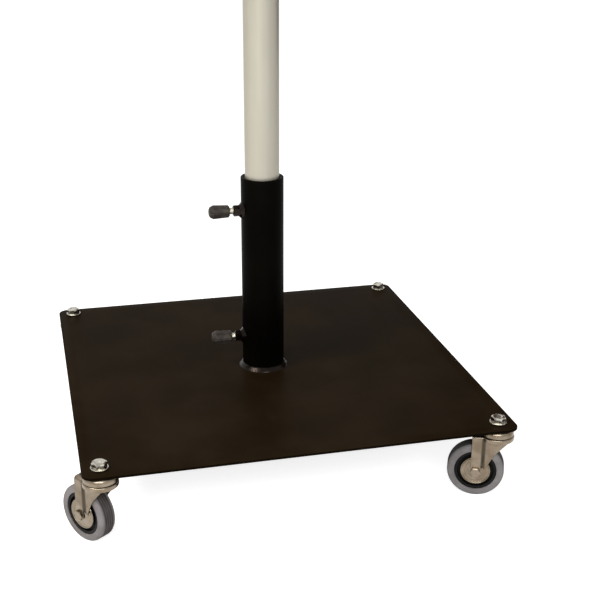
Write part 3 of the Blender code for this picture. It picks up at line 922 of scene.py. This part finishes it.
def ball_race():
    middle = (race_low + race_high) / 2
    inner, outer = BALL_TRACK - CAGE_HALF, BALL_TRACK + CAGE_HALF
    foot, top = middle - CAGE_HALF, middle + CAGE_HALF
    cage = turned([(inner, foot), (outer, foot), (outer, top), (inner, top)], 80)
    balls = bmesh.new()
    for i in range(BALL_COUNT):
        angle = TURN * i / BALL_COUNT
        spot = Matrix.Translation((BALL_TRACK * math.cos(angle), BALL_TRACK * math.sin(angle), middle))
        bmesh.ops.create_icosphere(balls, subdivisions=3, radius=BALL_RADIUS, matrix=spot)
    return mesh_of("ball_race", added(cage, balls))


# %% [markdown]
# ## Fork legs
#
# The fork is one pressing: a dished crown under the cup and two legs bent down from it, each with a
# step that stiffens it. The legs could be two flat plates, but in sheet they are one bend, so they
# come from an inverted channel whose sides step inwards, and a block in the shape of the fork's side
# view then trims it.

# %% Fork legs
axle = Vector(joints["front_left_wheel_spin"]["pos_m"])
TRAIL = round(math.hypot(axle.x - spots["front_left"].x, axle.y - spots["front_left"].y), 5)
AXLE_HEIGHT = axle.z
CROWN_TOP = cup_low - 0.5 * MM
CROWN_DEPTH = 9 * MM
CROWN_WALL = 2.5 * MM
LEG_WALL = 2.0 * MM
LEG_OUTER = 15.9 * MM
LEG_JOG = 1.4 * MM
LEG_WIDTH = 14 * MM
LEG_BACK = TRAIL + LEG_WIDTH / 2
LEG_STEP = TRAIL - LEG_WIDTH / 2
JOG_LENGTH = 5 * MM
BROW = 15 * MM
BEND = 5 * MM
SPARE = 30 * MM  # how far cutters reach past the legs


def channel():
    """An inverted channel along X, whose sides step inwards in front of the legs' back strips."""
    foot = AXLE_HEIGHT - LEG_WIDTH
    inner = LEG_OUTER - LEG_WALL
    outline = rounded(
        [
            (LEG_OUTER, foot),
            (LEG_OUTER, CROWN_TOP, BEND),
            (-LEG_OUTER, CROWN_TOP, BEND),
            (-LEG_OUTER, foot),
            (-inner, foot),
            (-inner, CROWN_TOP - CROWN_WALL, BEND - LEG_WALL),
            (inner, CROWN_TOP - CROWN_WALL, BEND - LEG_WALL),
            (inner, foot),
        ],
        True,
        6,
    )
    bm = bmesh.new()
    section = [bm.verts.new((LEG_BACK + MM, y, z)) for y, z in outline]
    edges = [bm.edges.new(pair) for pair in zip(section, section[1:] + section[:1])]
    for run, step in ((LEG_WIDTH + MM, 0), (JOG_LENGTH, LEG_JOG), (LEG_STEP - JOG_LENGTH + BROW, 0)):
        grown = bmesh.ops.extrude_edge_only(bm, edges=edges)["geom"]
        edges = [part for part in grown if isinstance(part, bmesh.types.BMEdge)]
        for vert in [part for part in grown if isinstance(part, bmesh.types.BMVert)]:
            vert.co.x -= run
            vert.co.y -= math.copysign(step, vert.co.y)
    bmesh.ops.holes_fill(bm, edges=bm.edges, sides=0)
    return mended(bm)


def side_view():
    """The fork's outline from the side, as a block to keep the channel inside."""
    bm = bmesh.new()
    toe = (TRAIL - 12.5 * MM, AXLE_HEIGHT + 3 * MM)
    brow = (-BROW, CROWN_TOP - CROWN_DEPTH)
    foot = AXLE_HEIGHT - LEG_WIDTH / 2
    foot_radius = LEG_WIDTH / 2 - 0.01 * MM
    corners = [
        (LEG_BACK, CROWN_TOP + MM),
        (LEG_BACK, foot, foot_radius),
        (LEG_STEP, foot, foot_radius),
        (LEG_STEP, AXLE_HEIGHT + 10.5 * MM, 0.3 * MM),
        (*toe, 1.5 * MM),
        ((toe[0] + brow[0]) / 2 + 2.4 * MM, (toe[1] + brow[1]) / 2 + 2.4 * MM, 40 * MM),
        (*brow, 0),
        (-BROW, CROWN_TOP + MM),
    ]
    face = bm.faces.new([bm.verts.new((x, -SPARE, z)) for x, z in rounded(corners, True, 8)])
    return extruded(bm, [face], (0, 2 * SPARE, 0))


# %% [markdown]
# ## Fork crown
#
# The crown is turned, with the track for the balls on its top, and joined to the legs. Pressed sheet
# has no sharp inner corner anywhere, and bevels fail where a round crown meets a bent channel, so a
# voxel remesh and a little smoothing melt all the joints into the soft radii of a press tool. The step
# of each leg gets painted shade, which a vertex value marks there.

# %% Fork crown
CROWN_RADIUS = 24 * MM
CROWN_RIM = 6.8 * MM
KING_HOLE = BOLT_HOLE + PIN_WALL + 0.5 * MM
AXLE_HOLE = 4.3 * MM


def crown():
    outline = [
        (KING_HOLE, CROWN_TOP - CROWN_WALL),
        (CROWN_RADIUS - CROWN_WALL, CROWN_TOP - CROWN_WALL, 1.5 * MM),
        (BROW - CROWN_WALL, CROWN_TOP - CROWN_DEPTH + CROWN_WALL),
        (BROW, CROWN_TOP - CROWN_DEPTH),
        (CROWN_RADIUS, CROWN_TOP - CROWN_RIM, 1.5 * MM),
        (CROWN_RADIUS, CROWN_TOP, 2.2 * MM),
        (BALL_TRACK + BALL_RADIUS, CROWN_TOP, 0.8 * MM),
        (BALL_TRACK + BALL_RADIUS, race_low - 0.3 * MM, 0.8 * MM),
        (BALL_TRACK - BALL_RADIUS, race_low - 0.3 * MM, 0.8 * MM),
        (BALL_TRACK - BALL_RADIUS, CROWN_TOP, 0.8 * MM),
        (KING_HOLE, CROWN_TOP),
    ]
    return turned(outline, 96)


MELT = (
    ("REMESH", {"mode": "VOXEL", "voxel_size": 0.42 * MM}),
    ("SMOOTH", {"factor": 0.5, "iterations": 5}),
    ("DECIMATE", {"ratio": 0.16}),
)


def fork():
    across = Matrix.Translation((TRAIL, 0, AXLE_HEIGHT)) @ Matrix.Rotation(math.pi / 2, 4, "X")
    king_hole = drill(KING_HOLE, CROWN_TOP - 20 * MM, CROWN_TOP + 5 * MM, Matrix.Identity(4))
    axle_hole = drill(AXLE_HOLE, -40 * MM, 40 * MM, across)
    steps = [channel(), ("INTERSECT", side_view()), ("UNION", crown())]
    steps += [("DIFFERENCE", king_hole), ("DIFFERENCE", axle_hole)]
    mesh = mesh_of("fork", combined("fork", steps, MELT), 60)
    # Painted shade along each leg's step, strongest in the middle of the jog.
    step_shade = mesh.attributes.new("step_shade", "FLOAT", "POINT")
    middle = LEG_STEP - JOG_LENGTH / 2
    for vert, value in zip(mesh.vertices, step_shade.data):
        on_leg = abs(vert.co.y) > LEG_OUTER - LEG_WALL - LEG_JOG - MM and vert.co.z < CROWN_TOP - CROWN_WALL
        away = abs(vert.co.x - middle) / (JOG_LENGTH * 0.7)
        value.value = max(0.0, 1 - away**3) if on_leg else 0.0
    return mesh


# %% [markdown]
# ## Tyre and wheel centre
#
# A grey tyre is pressed on a black plastic centre with a web and a hub. The tyre's tread has fine
# grooves and its edges are rolled over, all in one outline, so that no modifier has to cut them. The
# tread and streak values that the rubber finish reads are written on its vertices by their place
# across the width.

# %% Tyre and wheel centre
WHEEL_RADIUS = 40 * MM
TYRE_WIDTH = 24 * MM
RIM_RADIUS = 29.5 * MM
SHOULDER = 4.2 * MM
GROOVE_PITCH = 3.6 * MM
GROOVE_DEPTH = 0.5 * MM
TREAD_HALF = 7.6 * MM
SLEEVE_RADIUS = 6 * MM


def tyre():
    half = TYRE_WIDTH / 2
    steps = 48
    tread = []
    for i in range(steps + 1):
        spot = TREAD_HALF * (2 * i / steps - 1)
        wave = 0.5 + 0.5 * math.cos(TURN * spot / GROOVE_PITCH)
        tread.append((WHEEL_RADIUS - GROOVE_DEPTH * (1 - wave) ** 4, spot))
    flank = [(RIM_RADIUS + 0.3 * MM, half - 0.3 * MM, 0.25 * MM), (RIM_RADIUS + 1.4 * MM, half, 0.4 * MM)]
    outline = [(radius, -height, ease) for radius, height, ease in flank]
    outline += [(WHEEL_RADIUS, -half, SHOULDER), *tread, (WHEEL_RADIUS, half, SHOULDER)]
    outline += reversed(flank)
    mesh = mesh_of("tyre", turned(outline, 160))
    worn = mesh.attributes.new("tread", "FLOAT", "POINT")
    streak = mesh.attributes.new("streak", "FLOAT", "POINT")
    for vert, wear, line in zip(mesh.vertices, worn.data, streak.data):
        wear.value = max(0.0, min(1.0, (TREAD_HALF + MM - abs(vert.co.z)) / (2 * MM)))
        line.value = 0.5 + 0.5 * math.cos(TURN * vert.co.z / GROOVE_PITCH)
    return mesh


def wheel_centre():
    seat = RIM_RADIUS - 4 * MM
    hub_radius = 10.5 * MM
    hub_half, web_half, rim_half = 9.5 * MM, 5 * MM, 10.5 * MM
    half = [
        (SLEEVE_RADIUS + 0.3 * MM, hub_half, 0.3 * MM),
        (hub_radius, hub_half, 0.6 * MM),
        (hub_radius, web_half, 1.2 * MM),
        (seat, web_half, 1.2 * MM),
        (seat, rim_half, 0.5 * MM),
        (RIM_RADIUS, rim_half, 0.3 * MM),
    ]
    outline = half + [(radius, -height, ease) for radius, height, ease in reversed(half)]
    return mesh_of("wheel_centre", turned(outline, 96))


# %% [markdown]
# ## Thread guards and axle
#
# A dished thread guard with a rolled rim keeps string out of each side of the hub. The axle bolt
# clamps both guards to a sleeve, so none of the three turns with the wheel. A guard is thin sheet, so
# its outline goes out along its face and back along its back, and a half turn makes the second one.

# %% Thread guards and axle
AXLE_FLATS = 13 * MM
AXLE_RADIUS = 4 * MM
AXLE_PITCH = 1.25 * MM
AXLE_THREAD = 12 * MM
AXLE_HEAD = 3.4 * MM
AXLE_NUT = 6.8 * MM
AXLE_TAIL = 8.8 * MM
AXLE_SEAT = LEG_OUTER + 0.3 * MM


def thread_guards():
    face = [
        (AXLE_HOLE, 13.6 * MM),
        (8.3 * MM, 13.6 * MM, 0.6 * MM),
        (11.0 * MM, 11.8 * MM, 1.2 * MM),
        (15.0 * MM, 11.8 * MM, 0.5 * MM),
        (15.8 * MM, 11.3 * MM, 0.5 * MM),
        (18.8 * MM, 11.3 * MM, 0.6 * MM),
        (19.7 * MM, 12.2 * MM, 0.45 * MM),
        (20.7 * MM, 12.2 * MM, 0.6 * MM),
        (21.2 * MM, 11.2 * MM, 0.5 * MM),
        (21.2 * MM, 10.2 * MM, 0.2 * MM),
    ]
    back = [
        (20.5 * MM, 10.2 * MM, 0.2 * MM),
        (20.1 * MM, 11.3 * MM, 0.2 * MM),
        (19.2 * MM, 10.3 * MM, 0.2 * MM),
        (15.4 * MM, 10.3 * MM, 0.3 * MM),
        (14.6 * MM, 10.8 * MM, 0.3 * MM),
        (10.6 * MM, 10.8 * MM, 0.6 * MM),
        (7.9 * MM, 12.6 * MM, 0.3 * MM),
        (AXLE_HOLE, 12.6 * MM),
    ]
    near = turned(face + back, 96)
    far = turned(face + back, 96)
    far.transform(Matrix.Rotation(math.pi, 4, "X"))
    reach = 13.1 * MM
    outline = [(AXLE_HOLE, -reach), (SLEEVE_RADIUS, -reach), (SLEEVE_RADIUS, reach), (AXLE_HOLE, reach)]
    return mesh_of("thread_guards", added(near, far, turned(outline, 48)))


def axle_bolt():
    head = hex_blank(AXLE_FLATS, AXLE_SEAT, AXLE_SEAT + AXLE_HEAD)
    end = -(AXLE_SEAT + AXLE_TAIL)
    shank = threaded(AXLE_RADIUS, AXLE_PITCH, end, AXLE_SEAT + MM, stop=end + AXLE_THREAD, lead=0.5 * MM)
    return mesh_of("axle_bolt", added(head, shank), 25)


def axle_nut():
    nut = hex_blank(AXLE_FLATS, -AXLE_SEAT - AXLE_NUT, -AXLE_SEAT, AXLE_RADIUS + 0.15 * MM, True)
    return mesh_of("axle_nut", nut, 25)


# %% [markdown]
# ## Four castors
#
# The rest pose leaves each castor at its own heading, as they stand in the photograph. The frame's
# joints say where: the swivel joint is the kingpin, and the wheel's joint is the axle. So one matrix
# per corner takes a fork from the castor's own axes to the deck, and a second one lays the wheel
# along the axle. Each corner's bolt is also turned by its own angle, because a spanner never leaves
# two hexagons alike.

# %% Four castors
BOLT_TURNS = {"front_left": 3, "front_right": -25, "rear_left": -14, "rear_right": 9}  # degrees

bolt_pieces = {
    "bolt": (castor_bolt(), "bright_zinc", bolt_zinc),
    "washer": (castor_washer(), "bright_zinc", bolt_zinc),
    "bolt_nut": (castor_nut(), "bright_zinc", bolt_zinc),
}
swivel_pieces = {
    "swivel_cup": (swivel_cup(), "castor_zinc", castor_zinc),
    "kingpin": (kingpin(), "castor_zinc", castor_zinc),
}
fork_pieces = {
    "ball_race": (ball_race(), "castor_zinc", castor_zinc),
    "fork": (fork(), "castor_zinc", castor_zinc),
}
axle_pieces = {
    "thread_guards": (thread_guards(), "castor_zinc", castor_zinc),
    "axle_bolt": (axle_bolt(), "bright_zinc", castor_zinc),
    "axle_nut": (axle_nut(), "bright_zinc", castor_zinc),
}
wheel_pieces = {
    "tyre": (tyre(), "grey_rubber", rubber),
    "wheel_centre": (wheel_centre(), "black_plastic", wheel_black),
}
for pieces in (bolt_pieces, swivel_pieces, fork_pieces, axle_pieces, wheel_pieces):
    print({kind: len(mesh.polygons) for kind, (mesh, _, _) in pieces.items()}, "faces")

along_axle = Matrix.Rotation(-math.pi / 2, 4, "X")
for corner, spot in spots.items():
    hub = Vector(joints[corner + "_wheel_spin"]["pos_m"])
    heading = math.atan2(hub.y - spot.y, hub.x - spot.x)
    upright = Matrix.Translation((spot.x, spot.y, 0))
    swung = upright @ Matrix.Rotation(heading, 4, "Z")
    laid = swung @ Matrix.Translation((TRAIL, 0, AXLE_HEIGHT)) @ along_axle
    bolted = upright @ Matrix.Rotation(math.radians(BOLT_TURNS[corner]), 4, "Z")
    groups = (
        (bolt_pieces, "deck_assembly", bolted),
        (swivel_pieces, "deck_assembly", upright),
        (fork_pieces, corner + "_castor", swung),
        (axle_pieces, corner + "_castor", laid),
        (wheel_pieces, corner + "_wheel", laid),
    )
    for pieces, body, matrix in groups:
        for kind, (mesh, slot, finish) in pieces.items():
            fit(f"{corner}_{kind}_dressed", mesh, body, f"{corner}_{kind}", finish, matrix)
    print(corner, "heading", round(math.degrees(heading), 1), "degrees")

# %% [markdown]
# ## Floor and world
#
# The photograph is a cut-out on white. The floor is pale, and to the camera it is lit up to white except
# where the stand's own soft shadow falls. The world shows white to the camera and in reflections, and
# lights the stand more gently. White on every side would leave metal flat, so two dark cards stand where
# only mirrored rays meet them: painted shade under the deck, and a painted dark reflection on the right.

# %% Floor and world
FLOOR_SIZE = 14.0
FLOOR_GLOW = 0.78
AMBIENT = 0.32
CARD_COLOUR = (0.10, 0.06, 0.035, 1)

bm = bmesh.new()
bmesh.ops.create_grid(bm, x_segments=1, y_segments=1, size=FLOOR_SIZE / 2)
floor = linked("floor", mesh_of("floor", bm))

floor_finish = Finish("studio floor", Base_Color=(0.80, 0.80, 0.80, 1), Roughness=0.9)
floor_finish.set(Specular_IOR_Level=0.0, Emission_Strength=FLOOR_GLOW)
rays = floor_finish.node("ShaderNodeLightPath", {}, {}, "Is Camera Ray")
mirrored_rays = floor_finish.node("ShaderNodeLightPath", {}, {}, "Is Glossy Ray")
seen = (rays + mirrored_rays).between(0.0, 1.0)
floor_finish.set(Emission_Color=floor_finish.mix(seen, (0, 0, 0), (1, 1, 1)))
floor.data.materials.append(floor_finish.owner)

world = bpy.data.worlds.new("studio")
bpy.context.scene.world = world
sky = Nodes(world, "Background")
kinds = ("Is Camera Ray", "Is Glossy Ray", "Is Transmission Ray")
straight, mirrored, bent = [sky.node("ShaderNodeLightPath", {}, {}, kind) for kind in kinds]
white = (straight + mirrored + bent).between(0.0, 1.0)
sky.set(Color=(1, 1, 1, 1), Strength=white * (1 - AMBIENT) + AMBIENT)


def dark_card(name, corners):
    """A card out of the picture that only mirrored rays meet."""
    bm = bmesh.new()
    bm.faces.new([bm.verts.new(corner) for corner in corners])
    card = linked(name, mesh_of(name, bm))
    dull = Finish(name, Base_Color=CARD_COLOUR, Roughness=1.0, Specular_IOR_Level=0.0)
    card.data.materials.append(dull.owner)
    card.visible_camera = card.visible_diffuse = card.visible_shadow = card.visible_transmission = False


# Painted shade: the floor under the deck, dark only where mirrored rays meet it.
dark_card(
    "shade under the deck",
    [(-0.24, -0.24, MM / 2), (0.36, -0.24, MM / 2), (0.36, 0.2, MM / 2), (-0.24, 0.2, MM / 2)],
)
# A painted dark reflection on the right, which blocks no light.
dark_card("dark reflection card on the right", [(1.4, 0.2, 0.3), (1.4, 2.5, 0.3), (1.4, 2.5, 3), (1.4, 0.2, 3)])
print("floor", FLOOR_SIZE, "m wide, ambient light", AMBIENT)

# %% [markdown]
# ## Lamps
#
# Small lamps would dot the metal with hard sparks, so both are soft boxes. A wide strip in front, to
# the left and high, gives the castors their bright edges, and a warmer box high on the left lights
# that side of the pole.

# %% Lamps
LIT_SPOT = (0, 0, 0.2)


def lamp(name, spot, width, height, power, colour):
    """A soft box of a width and a height that faces the stand."""
    light = bpy.data.lights.new(name, "AREA")
    light.shape = "RECTANGLE"
    light.size = width
    light.size_y = height
    light.energy = power
    light.color = colour
    box = linked(name, light)
    box.location = spot
    box.rotation_euler = (Vector(LIT_SPOT) - Vector(spot)).to_track_quat("-Z", "Y").to_euler()
    print(name, power, "W")


lamp("front strip", (-0.7, -2.2, 1.5), width=2.4, height=0.8, power=45, colour=(0.97, 0.98, 1.0))
lamp("high left", (-1.6, -0.6, 2.2), width=0.9, height=0.9, power=36, colour=(1.0, 0.95, 0.87))
bpy.context.scene.view_settings.view_transform = "Standard"

# %% [markdown]
# ## Pieces and faces
#
# A finer mesh must not outgrow the solid that it stands for. The number of dressed pieces and of their
# faces is printed here.

# %% Pieces and faces
print(len(made), "pieces,", sum(len(piece.data.polygons) for piece in made), "faces")
